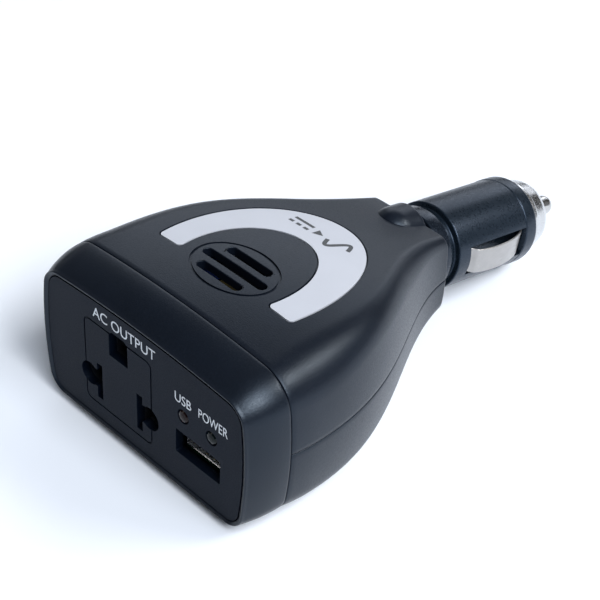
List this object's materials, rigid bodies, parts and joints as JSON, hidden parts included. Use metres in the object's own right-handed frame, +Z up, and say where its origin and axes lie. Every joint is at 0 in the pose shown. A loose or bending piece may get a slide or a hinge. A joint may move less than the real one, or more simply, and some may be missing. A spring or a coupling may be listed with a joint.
{
  "type": "car power inverter",
  "caption": "Bell-shaped car power inverter: mains socket, USB port and lamps on a flat front, curved top with vent and badge, and a sprung 12 V accessory plug.",
  "frame": {"origin": "centre of the bounding box's footprint, on the plane of the four foot pads that it stands on", "axes": "+Z up; the front panel faces -Y; the plug points along +Y, tilted 10.25 degrees down"},
  "size_m": [0.0678, 0.1304, 0.038],
  "materials": {
    "shell_black": "fine spark-eroded grain",
    "bezel_black": "fine spark-eroded grain",
    "panel_black": "fine matte, slightly blue",
    "inner_black": "plain moulded",
    "plug_black": "satin",
    "collar_black": "gloss",
    "badge_silver": "satin silver print",
    "brass": "plain",
    "nickel": "nickel plated",
    "nickel_cap": "nickel plated, turned",
    "contact_nickel": "nickel plated spring strip",
    "port_steel": "tinned steel",
    "tongue_white": "plain moulded",
    "gold_plate": "gold plated",
    "lamp_red": "tinted lens",
    "lamp_green": "tinted lens",
    "tinned_wire": "tinned",
    "screw_steel": "zinc plated",
    "screw_brass": "passivated",
    "board_green": "solder mask",
    "ferrite": "sintered",
    "foot_rubber": "soft moulded rubber",
    "winding_tape": "polyester tape",
    "cap_sleeve": "heat-shrink sleeve",
    "chip_black": "moulded epoxy",
    "sink_aluminium": "plain",
    "copper_winding": "enamelled copper",
    "wire_red": "insulation",
    "wire_black": "insulation",
    "spring_steel": "spring wire",
    "fuse_glass": "clear",
    "washer_fibre": "vulcanised fibre"
  },
  "bodies": {
    "housing": {"top_shell": "shell_black", "bottom_shell": "shell_black", "front_bezel": "bezel_black", "front_panel": "panel_black", "socket_block": "inner_black", "live_contact": "brass", "neutral_contact": "brass", "earth_contact": "brass", "usb_shell": "port_steel", "usb_tongue": "tongue_white", "usb_contacts": "gold_plate", "usb_lamp": "lamp_red", "power_lamp": "lamp_green", "lamp_leads": "tinned_wire", "top_badge": "badge_silver", "shell_screws": "screw_steel", "foot_pads": "foot_rubber", "main_board": "board_green", "board_screws": "screw_brass", "transformer_core": "ferrite", "transformer_winding": "winding_tape", "capacitors": "cap_sleeve", "transistors": "chip_black", "heat_sink": "sink_aluminium", "choke": "copper_winding", "control_chip": "chip_black", "buzzer": "inner_black", "socket_leads": "wire_red", "plug_leads": "wire_black", "plug_barrel": "plug_black", "plug_collar": "collar_black", "spring_seat": "brass", "fuse_spring": "spring_steel"},
    "cap_carrier": {"tip_washer": "washer_fibre"},
    "cap": {"tip_nut": "nickel_cap"},
    "tip": {"tip_pin": "nickel", "fuse_glass": "fuse_glass", "fuse_caps": "nickel"},
    "left_contact": {"side_contact_left": "contact_nickel"},
    "right_contact": {"side_contact_right": "contact_nickel"}
  },
  "joints": [
    {"name": "cap_travel", "type": "slide", "parent": "housing", "child": "cap_carrier", "axis": [0, 0.984, -0.1779], "range_m": [0, 0.004]},
    {"name": "cap_turn", "type": "hinge", "parent": "cap_carrier", "child": "cap", "pos_m": [0, 0.05228, 0.00977], "axis": [0, 0.984, -0.1779], "range_deg": [0, 1440]},
    {"name": "tip_press", "type": "slide", "parent": "cap_carrier", "child": "tip", "axis": [0, -0.984, 0.1779], "range_m": [0, 0.0025], "stiffness_N_per_m": 600, "springref_m": -0.002, "deforming": ["fuse_spring"]},
    {"name": "left_contact_press", "type": "slide", "parent": "housing", "child": "left_contact", "axis": [1, 0, 0], "range_m": [0, 0.0012], "stiffness_N_per_m": 2000, "springref_m": -0.0005},
    {"name": "right_contact_press", "type": "slide", "parent": "housing", "child": "right_contact", "axis": [-1, 0, 0], "range_m": [0, 0.0012], "stiffness_N_per_m": 2000, "springref_m": -0.0005}
  ],
  "couplings": [
    {"joint": "cap_travel", "follows": "cap_turn", "m_per_rad": 0.00015915}
  ]
}
